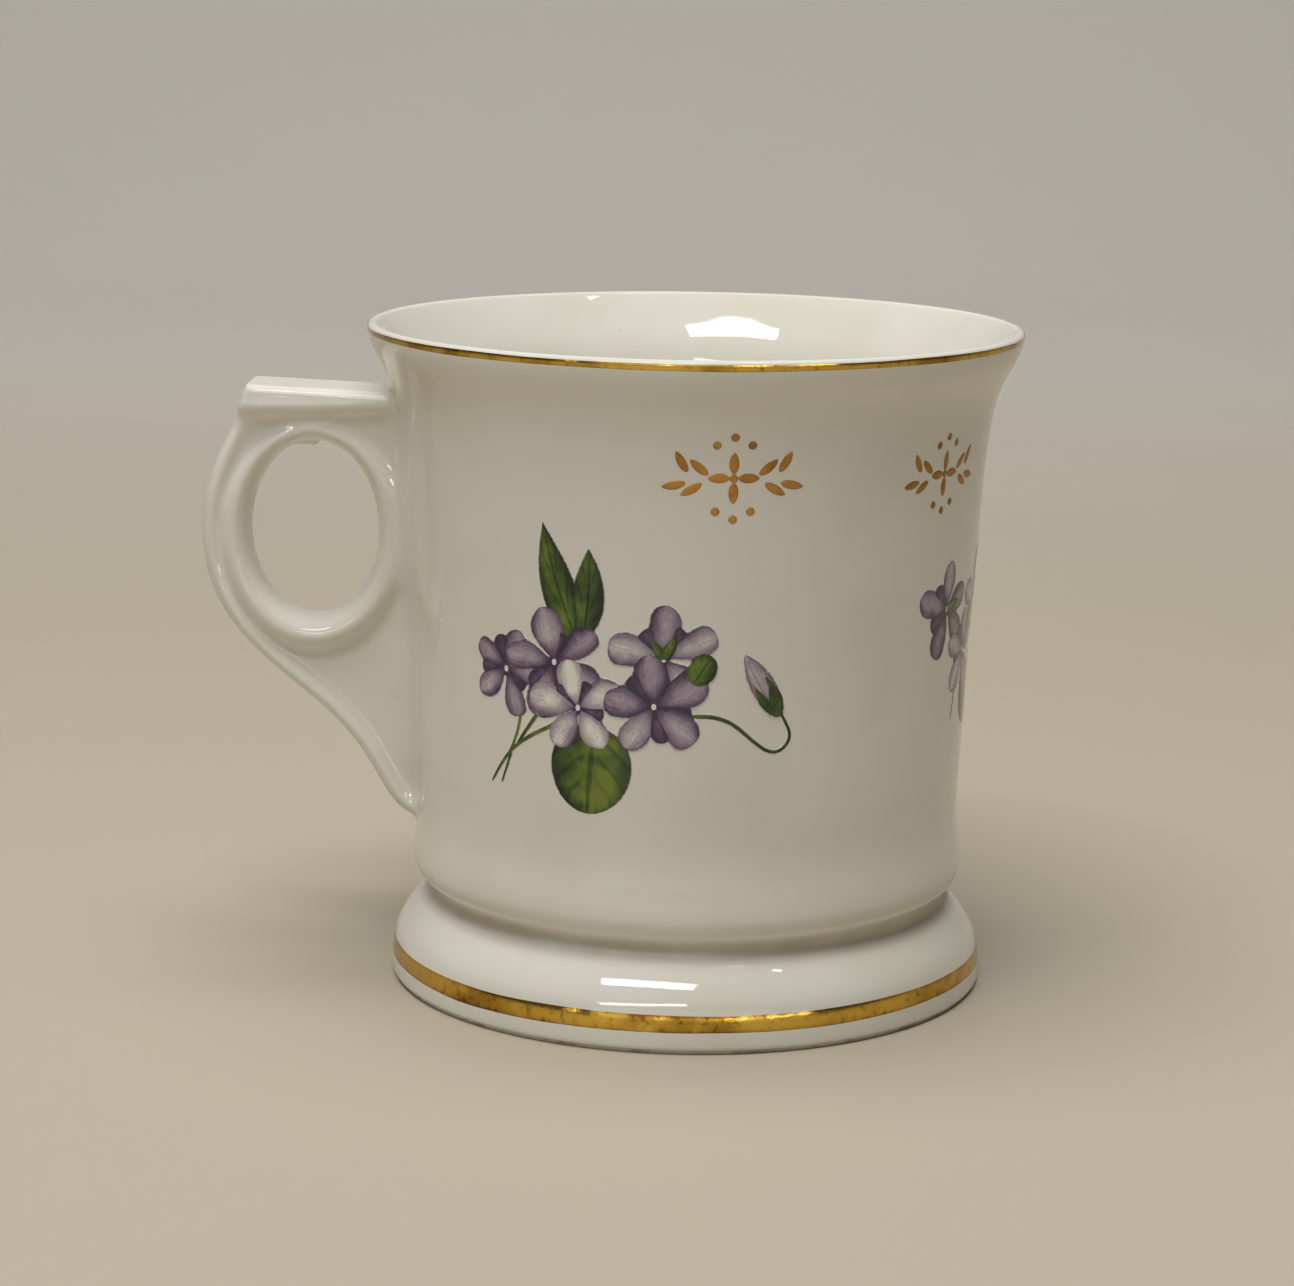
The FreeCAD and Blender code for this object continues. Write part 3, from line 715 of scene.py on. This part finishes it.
def spray(side):
    """The petals, leaves and stems of one violet spray."""
    blossoms, buds, leaves, late_leaves, stems = SPRAYS[side]
    rng = np.random.default_rng(SPRAY_SEEDS[side])
    sheet = Print()
    for item in leaves:
        leaf(sheet, *item)
    for places, half in stems:
        stem(sheet, places, half, rng.uniform(*STEM_TONES))
    for place in blossoms:
        blossom(sheet, *place, rng)
    for item in buds:
        bud(sheet, *item)
    for item in late_leaves:
        leaf(sheet, *item)
    return [sheet.piece(ink, side + "_" + ink) for ink in ("petals", "leaves", "stems")]


def ornament(name, turn, height, size):
    """A generic gold fleuron: four petals round a dot, a sprig on each side, dots above and below."""
    sheet = Print()

    def dab(x, z, angle, length, half, bend=0.0):
        """One touch of the brush, its middle at (x, z) from the ornament's."""
        s, width = swelling(20, size * half, root=0.6, tip=0.7)
        a = math.radians(angle)
        start_x = size * (x - length / 2 * math.cos(a))
        start_z = height + size * (z - length / 2 * math.sin(a))
        path = ray(start_x, start_z, angle, size * length, s, bend)
        sheet.patch("gold", turn, path, width, GOLD_TONE, thick=GILT, across=9)

    reach, long_half, wide_half = ORNAMENT_PETAL
    for k in range(4):
        a = math.radians(90 * k)
        dab(reach * math.cos(a), reach * math.sin(a), 90 * k, 2 * long_half, wide_half)
    for hand in (-1, 1):
        for x, z, lean in SPRIG_LEAVES:
            angle = lean if hand > 0 else 180 - lean
            dab(hand * x, z, angle, 2 * SPRIG_LEAF[0], SPRIG_LEAF[1], SPRIG_BEND * hand)
    for x, z in ORNAMENT_DOTS:
        dab(x, z, 90, 2 * DOT_HALF, DOT_HALF)
    return sheet.piece("gold", name)


# Materials. Colours are linear, and texture scales are per metre


GLAZE_WHITE = (0.80, 0.78, 0.71, 1)
GLAZE_CREAM = (0.765, 0.735, 0.64, 1)
GLAZE_IOR = 1.52
SPECK = (0.10, 0.06, 0.03, 1)
# Kiln specks: place in millimetres and radius
SPECKS = [((-39.3, -2.9, 37.8), 0.5), ((-38.3, -2.9, 31.4), 0.35), ((-10.3, -35.4, 15.8), 0.42),
          ((-11.1, 37.9, 83.6), 0.4)]
# Grime and painted shade in the groove, one brown darkening: it fades out between these distances above and
# below the groove's middle, and lies outside a radius only
GROOVE_GRIME_AND_SHADE = (0.36, 0.29, 0.20, 1)
GRIME_AND_SHADE_REACH = (2.2, 0.5)
GRIME_AND_SHADE_RADIUS = 34.0
BARE_CHINA = (0.66, 0.61, 0.52, 1)
BARE_RUBBED = (0.38, 0.32, 0.25, 1)
# Golds: colour where thick and where thin, roughness, wear
GILT_LOOK = ((0.70, 0.44, 0.075, 1), (0.20, 0.09, 0.008, 1), 0.06, 0.85)
BRONZE_LOOK = ((0.46, 0.24, 0.06, 1), (0.25, 0.11, 0.025, 1), 0.34, 0.9)
ENAMEL_IOR = 1.5
# Rows of position and colour: violets from pale to dark, greens from dark to light
VIOLETS = [(0.20, (0.86, 0.86, 0.80)), (0.34, (0.63, 0.59, 0.57)), (0.46, (0.45, 0.385, 0.435)),
           (0.62, (0.29, 0.225, 0.305)), (0.80, (0.14, 0.09, 0.17)), (1.0, (0.045, 0.024, 0.062))]
GREENS = [(0.24, (0.007, 0.013, 0.004)), (0.46, (0.020, 0.045, 0.006)), (0.66, (0.055, 0.11, 0.009)),
          (0.92, (0.17, 0.23, 0.018))]


class Shader:
    """A material whose nodes are added one by one."""

    def __init__(self, name):
        self.material = bpy.data.materials.new(name)
        self.material.use_nodes = True
        self.tree = self.material.node_tree
        self.tree.nodes.clear()

    def node(self, kind, inputs=None, **settings):
        """Adds a node. Each input is a constant or another node's output."""
        made = self.tree.nodes.new("ShaderNode" + kind)
        for key, value in settings.items():
            setattr(made, key, value)
        for key, value in (inputs or {}).items():
            self.plug(value, made.inputs[key])
        return made

    def plug(self, value, socket):
        """Links an output to a socket, or sets the socket to a constant."""
        if isinstance(value, bpy.types.NodeSocket):
            self.tree.links.new(value, socket)
        else:
            socket.default_value = value

    def math(self, operation, a, b=0.0, c=0.0, clamp=False):
        """One sum on up to three values."""
        return self.node("Math", {0: a, 1: b, 2: c}, operation=operation, use_clamp=clamp).outputs[0]

    def scaled(self, value, times, plus):
        """A value multiplied and added to."""
        return self.math("MULTIPLY_ADD", value, times, plus)

    def opposite(self, value):
        """1 less a value."""
        return self.math("SUBTRACT", 1.0, value)

    def weighted(self, start, parts):
        """A sum of values, each multiplied by its own weight."""
        for part, weight in parts:
            start = self.scaled(part, weight, start)
        return start

    def mix(self, factor, a, b):
        """Colour a turning into colour b."""
        made = self.node("Mix", data_type="RGBA")
        for socket, value in ((0, factor), (6, a), (7, b)):
            self.plug(value, made.inputs[socket])
        return made.outputs[2]

    def noise(self, vector, scale, detail=3.0, rough=0.5):
        """Cloudy noise round 0.5."""
        return self.node("TexNoise", {"Vector": vector, "Scale": scale, "Detail": detail,
                                      "Roughness": rough}).outputs["Fac"]

    def ramp(self, value, stops):
        """A colour from rows of (position, colour)."""
        made = self.node("ValToRGB", {"Fac": value})
        made.color_ramp.interpolation = "LINEAR"
        elements = made.color_ramp.elements
        while len(elements) < len(stops):
            elements.new(0.5)
        for element, (position, colour) in zip(elements, stops):
            element.position = position
            element.color = (*colour, 1)
        return made.outputs["Color"]

    def step(self, value, low, high):
        """0 below low, 1 above high, smooth between."""
        return self.node("MapRange", {0: value, 1: low, 2: high, 3: 0.0, 4: 1.0},
                         interpolation_type="SMOOTHSTEP").outputs[0]

    def bump(self, height, strength, distance):
        """A normal that follows small bumps, their height in metres."""
        return self.node("Bump", {"Strength": strength, "Distance": distance, "Height": height}).outputs[0]

    def place(self):
        """Where a point of the piece is."""
        return self.node("TexCoord").outputs["Object"]

    def split(self, vector):
        """The three parts of a vector."""
        return self.node("SeparateXYZ", {0: vector}).outputs

    def stroke(self):
        """(along, across, tone) of a painted film."""
        return self.split(self.node("Attribute", attribute_name="stroke").outputs["Vector"])

    def finish(self, colour, roughness, bump=None, **constants):
        """Closes the material."""
        shader = self.node("BsdfPrincipled", {"Base Color": colour, "Roughness": roughness})
        for key, value in constants.items():
            shader.inputs[key].default_value = value
        if bump is not None:
            self.tree.links.new(bump, shader.inputs["Normal"])
        out = self.node("OutputMaterial")
        self.tree.links.new(shader.outputs[0], out.inputs[0])
        return self.material


def groove_grime_and_shade(m, where):
    """How much brown grime and painted shade lie in the groove between cup and foot."""
    x, y, z = m.split(where)
    above = m.math("ABSOLUTE", m.math("SUBTRACT", z, GROOVE_Z * MM))
    radius = m.math("SQRT", m.math("MULTIPLY_ADD", x, x, m.math("MULTIPLY", y, y)))
    near = m.math("MULTIPLY", m.step(above, GRIME_AND_SHADE_REACH[0] * MM, GRIME_AND_SHADE_REACH[1] * MM),
                  m.math("GREATER_THAN", radius, GRIME_AND_SHADE_RADIUS * MM))
    return m.math("MULTIPLY", near, m.scaled(m.noise(where, scale=120, rough=0.6), times=0.5, plus=0.12))


def glaze():
    """White glazed china: faint cream mottling, iron specks, grime and painted shade in the groove, a
    slightly wavy gloss.
    """
    m = Shader("glazed_china")
    where = m.place()
    colour = m.mix(m.step(m.noise(where, scale=45), 0.42, 0.72), GLAZE_WHITE, GLAZE_CREAM)
    cells = m.node("TexVoronoi", {"Vector": where, "Scale": 75.0})
    rare = m.math("GREATER_THAN", m.node("SeparateColor", {0: cells.outputs["Color"]}).outputs[0], 0.93)
    dot = m.opposite(m.step(cells.outputs["Distance"], 0.012, 0.03))
    colour = m.mix(m.math("MULTIPLY", rare, dot), colour, SPECK)
    for centre, radius in SPECKS:
        spot_place = [c * MM for c in centre]
        apart = m.node("VectorMath", {0: where, 1: spot_place}, operation="DISTANCE").outputs["Value"]
        colour = m.mix(m.step(apart, radius * MM, 0.5 * radius * MM), colour, SPECK)
    grime_and_shade = groove_grime_and_shade(m, where)
    # The groove's brown is partly grime and partly painted shade.
    colour = m.mix(grime_and_shade, colour, GROOVE_GRIME_AND_SHADE)
    gloss = m.scaled(m.noise(where, scale=160, detail=2), times=0.03, plus=0.02)
    gloss = m.scaled(grime_and_shade, times=1.3, plus=gloss)
    ripple = m.math("MULTIPLY", m.noise(where, scale=700, detail=1), 0.04)
    wave = m.scaled(m.noise(where, scale=70, detail=1), times=1.0, plus=ripple)
    return m.finish(colour, gloss, m.bump(wave, strength=0.25, distance=0.0004), IOR=GLAZE_IOR)


def bisque():
    """Unglazed standing ring, rubbed grey where it has slid on tables."""
    m = Shader("bare_china")
    where = m.place()
    rubbed = m.step(m.noise(where, scale=220, detail=5, rough=0.65), 0.45, 0.7)
    grain = m.noise(where, scale=2500, detail=4, rough=0.7)
    return m.finish(m.mix(rubbed, BARE_CHINA, BARE_RUBBED), m.scaled(grain, times=0.2, plus=0.65),
                    m.bump(grain, strength=0.5, distance=0.00006))


def gold(name, bright, thin, roughness, wear):
    """Burnished gold laid over glaze, thinner and browner in streaks and at its edges."""
    m = Shader(name)
    across = m.stroke()[1]
    where = m.place()
    blotch = m.noise(where, scale=900, detail=4, rough=0.6)
    edge = m.math("POWER", m.math("ABSOLUTE", across), 5)
    worn = m.math("MULTIPLY", m.step(m.noise(where, scale=90, rough=0.6), 0.46, 0.66), 0.75)
    thinness = m.math("ADD", m.scaled(edge, times=0.7, plus=worn), m.step(blotch, 0.5, 0.8))
    colour = m.mix(m.math("MULTIPLY", thinness, wear, clamp=True), bright, thin)
    gloss = m.scaled(m.noise(where, scale=900), times=0.12, plus=roughness)
    return m.finish(colour, gloss, m.bump(blotch, strength=0.3, distance=0.00005), Metallic=1.0)


def enamelled(m, colour, stipple):
    """Closes an enamel, its film's outline broken up softly into the glaze."""
    inset = m.node("Attribute", attribute_name="inset").outputs["Fac"]
    ragged = m.scaled(m.noise(m.place(), scale=2200), times=-0.8, plus=inset)
    colour = m.mix(m.step(ragged, -0.45, 0.25), GLAZE_WHITE, colour)
    return m.finish(colour, m.scaled(stipple, times=0.1, plus=0.08), IOR=ENAMEL_IOR)


def violet_enamel():
    """Lilac petals with pale middles, streaks from the throat, deep purple edges and a stipple."""
    m = Shader("violet_enamel")
    along, across, tone = m.stroke()
    where = m.place()
    lengthwise = m.node("CombineXYZ", {0: m.math("MULTIPLY", along, 1.1), 1: m.math("MULTIPLY", across, 4.0),
                                       2: m.math("MULTIPLY", tone, 37.0)}).outputs[0]
    streak = m.noise(lengthwise, scale=2.2, rough=0.6)
    patchy = m.noise(where, scale=380, rough=0.6)
    stipple = m.noise(where, scale=3400, detail=2, rough=0.6)
    width = m.math("ABSOLUTE", m.math("ADD", across, m.scaled(patchy, times=0.3, plus=-0.15)))
    rim = m.math("POWER", width, 4.0)
    glow = m.math("MULTIPLY", m.opposite(m.step(width, 0.05, 0.8)), m.step(along, 0.15, 0.5))
    tip = m.math("POWER", along, 10.0)
    throat = m.opposite(m.step(along, 0.05, 0.5))
    one_side = m.scaled(across, times=0.5, plus=0.5)
    deeper = m.math("SUBTRACT", 0.5, tone)
    dark = m.weighted(0.06, ((streak, 0.34), (patchy, 0.44), (rim, 0.34), (tip, 0.36), (throat, 0.30),
                             (stipple, 0.26), (one_side, 0.14), (glow, -0.20), (deeper, 0.62)))
    return enamelled(m, m.ramp(dark, VIOLETS), stipple)


def green_enamel():
    """Leaves from near black green to lime, with a dark midrib, side veins and a dark edge."""
    m = Shader("green_enamel")
    along, across, tone = m.stroke()
    where = m.place()
    width = m.math("ABSOLUTE", across)
    blotch = m.noise(where, scale=230, rough=0.6)
    stipple = m.noise(where, scale=3600, detail=2, rough=0.6)
    slant = m.scaled(width, times=-0.30, plus=along)
    vein = m.math("SINE", m.scaled(blotch, times=5.0, plus=m.math("MULTIPLY", slant, 34.0)))
    vein = m.math("MULTIPLY", m.step(vein, 0.5, 1.0), m.step(width, 0.05, 0.3))
    rib = m.opposite(m.step(width, 0.02, 0.11))
    edge = m.math("POWER", width, 2.6)
    tip = m.math("POWER", along, 5.0)
    light = m.weighted(-0.14, ((blotch, 1.25), (across, 0.16), (edge, -0.48), (vein, -0.14), (rib, -0.28),
                               (tip, -0.22), (stipple, 0.12), (tone, 0.42)))
    return enamelled(m, m.ramp(light, GREENS), stipple)


def paint(piece, material, slot, *nodes):
    """Gives a piece its material and its place in the assembly."""
    piece.data.materials.clear()
    piece.data.materials.append(material)
    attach(piece, "root")
    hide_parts(*nodes)


def build_mug():
    """Every piece of the mug, with its material and the CAD nodes it stands for."""
    white = glaze()
    paint(cup(), white, "white_glaze", "cup_body")
    paint(foot(), white, "white_glaze", "pedestal_foot")
    paint(seam(), white, "white_glaze", "foot_luting_seam")
    paint(standing_ring(), bisque(), "bare_body", "foot_ring_bare")
    paint(handle(), white, "white_glaze", "handle", "handle_luting_slip")
    bright = gold("gilt", *GILT_LOOK)
    bronze = gold("gilt_ornament", *BRONZE_LOOK)
    paint(band("rim_gilt", OUTSIDE), bright, "gilt", "rim_gilt_line")
    paint(band("foot_gilt", FLARE), bright, "gilt", "foot_gilt_band")
    violet, green = violet_enamel(), green_enamel()
    for side in SPRAYS:
        petals, leaves, stems = spray(side)
        paint(petals, violet, "violet_enamel", side + "_spray_petals")
        paint(leaves, green, "green_enamel", side + "_spray_leaves")
        paint(stems, green, "green_enamel", side + "_spray_stems")
    for name, place in ORNAMENTS.items():
        paint(ornament(name + "_gold", *place), bronze, "gilt_ornament", name)


# Stage, in metres


FLOOR_COLOUR = (0.485, 0.43, 0.34, 1)
BACKDROP_COLOUR = (0.74, 0.72, 0.68, 1)
# The floor turns from its own colour into the backdrop's between these distances behind the mug
BACKDROP_SPAN = (0.2, 1.0)
SWEEP_HALF_WIDTH = 2.4
SWEEP_FRONT = -2.0
SWEEP_BACK = 0.9
SWEEP_BEND = 0.5
SWEEP_TOP = 1.6
WORLD_COLOUR = (1.0, 0.965, 0.90, 1)
WORLD_STRENGTH = 0.10
WARM = (1, 0.985, 0.94)
WHITE = (1, 1, 1)
SIDEWAYS = (1, 0, 0)
# Lamps: direction from the mug's middle, distance, size, brightness, direction of the long side, colour,
# whether it fills in the shading, whether it shines in the gloss
LAMPS = {
    "ceiling": ((-0.08, -0.08, 1), 1.25, (1.2, 0.9), 4.6, SIDEWAYS, WARM, True, False),
    "panel_high": ((-0.20, -0.53, 0.83), 1.2, (0.62, 0.15), 13, (0.97, -0.25, 0.07), WHITE, True, True),
    "panel_low": ((-0.26, -0.86, 0.40), 1.2, (0.70, 0.12), 11, (0.95, -0.15, 0.28), WHITE, False, True),
    "lamp_one": ((0.20, -0.16, 0.97), 1.2, (0.13, 0.05), 16, SIDEWAYS, WHITE, False, True),
    "lamp_two": ((0.43, -0.22, 0.87), 1.2, (0.06, 0.05), 16, SIDEWAYS, WHITE, False, True),
    "card": ((0, -1, 0.11), 1.6, (2.2, 0.40), 1.0, SIDEWAYS, WARM, False, True),
}
# Low strips that glint in the gold: turn from the front in degrees, and width
GLINTS = [(18, 0.36), (40, 0.40), (-9, 0.09), (-42, 0.08)]
GLINT_RISE = 0.03
GLINT_DISTANCE = 1.5
GLINT_HEIGHT = 0.06
GLINT_BRIGHTNESS = 4
# Camera: its place, its pitch, roll and yaw in degrees, its lens and sensor in millimetres
CAMERA_PLACE = (0, -0.45986, 0.13764)
CAMERA_TURN = (11.353, 0.859, -0.734)
CAMERA_LENS = 95.98
CAMERA_SENSOR = 36.0
CAMERA_NEAREST = 0.01


def sweep():
    """Pale floor that curves up into a paler backdrop behind the mug."""
    line = [(SWEEP_FRONT, 0.0)]
    for a in np.linspace(0, math.pi / 2, 24):
        line.append((SWEEP_BACK + SWEEP_BEND * math.sin(a), SWEEP_BEND * (1 - math.cos(a))))
    line.append((SWEEP_BACK + SWEEP_BEND, SWEEP_TOP))
    verts = [(x, y, z) for x in (-SWEEP_HALF_WIDTH, SWEEP_HALF_WIDTH) for y, z in line]
    count = len(line)
    faces = [[k, k + 1, count + k + 1, count + k] for k in range(count - 1)]
    mesh = bpy.data.meshes.new("sweep")
    mesh.from_pydata(verts, [], faces)
    mesh.shade_smooth()
    mesh.flip_normals()
    piece = add_object("sweep", mesh)
    m = Shader("pale_sweep")
    where = m.place()
    colour = m.mix(m.step(m.split(where)[1], *BACKDROP_SPAN), FLOOR_COLOUR, BACKDROP_COLOUR)
    mesh.materials.append(m.finish(colour, m.scaled(m.noise(where, scale=6, detail=2), times=0.1, plus=0.5)))


def area_light(name, towards, distance, size, brightness, along, colour, fills, shines):
    """A rectangular lamp that looks at the mug's middle and can't be seen itself."""
    aim = Vector((0, 0, HEIGHT * MM / 2))
    back = Vector(towards).normalized()
    right = (Vector(along) - Vector(along).dot(back) * back).normalized()
    data = bpy.data.lights.new(name, "AREA")
    data.shape = "RECTANGLE"
    data.size, data.size_y = size
    data.energy = brightness * math.pi * size[0] * size[1]
    data.color = colour
    lamp = add_object(name, data)
    turn = Matrix((right, back.cross(right), back)).transposed().to_4x4()
    lamp.matrix_world = Matrix.Translation(aim + distance * back) @ turn
    lamp.visible_diffuse = fills
    lamp.visible_glossy = shines
    lamp.visible_camera = False


def light_stage():
    """Soft light from above and in front, low strips for the gold, and a faint glow from all round."""
    bpy.context.scene.view_settings.view_transform = "Standard"
    world = bpy.data.worlds.new("studio")
    bpy.context.scene.world = world
    world.use_nodes = True
    glow = world.node_tree.nodes["Background"].inputs
    glow["Color"].default_value = WORLD_COLOUR
    glow["Strength"].default_value = WORLD_STRENGTH
    for name, lamp in LAMPS.items():
        area_light(name, *lamp)
    for number, (turn, width) in enumerate(GLINTS, 1):
        a = math.radians(turn)
        towards = (math.sin(a), -math.cos(a), GLINT_RISE)
        along = (math.cos(a), math.sin(a), 0)
        area_light("glint_%d" % number, towards, GLINT_DISTANCE, (width, GLINT_HEIGHT), GLINT_BRIGHTNESS,
                   along, WHITE, False, True)


def camera():
    """Stands in front of the mug, a little above it, tipped down and rolled slightly."""
    pitch, roll, yaw = (math.radians(angle) for angle in CAMERA_TURN)
    ahead = Vector((math.sin(yaw) * math.cos(pitch), math.cos(yaw) * math.cos(pitch), -math.sin(pitch)))
    right = Vector((math.cos(yaw), -math.sin(yaw), 0))
    up = right.cross(ahead)
    across = math.cos(roll) * right + math.sin(roll) * up
    upright = -math.sin(roll) * right + math.cos(roll) * up
    data = bpy.data.cameras.new("camera")
    data.sensor_width = CAMERA_SENSOR
    data.lens = CAMERA_LENS
    data.clip_start = CAMERA_NEAREST
    eye = add_object("camera", data)
    turn = Matrix((across, upright, -ahead)).transposed().to_4x4()
    eye.matrix_world = Matrix.Translation(CAMERA_PLACE) @ turn
    bpy.context.scene.camera = eye


build_mug()
sweep()
light_stage()
camera()
bpy.context.view_layer.update()
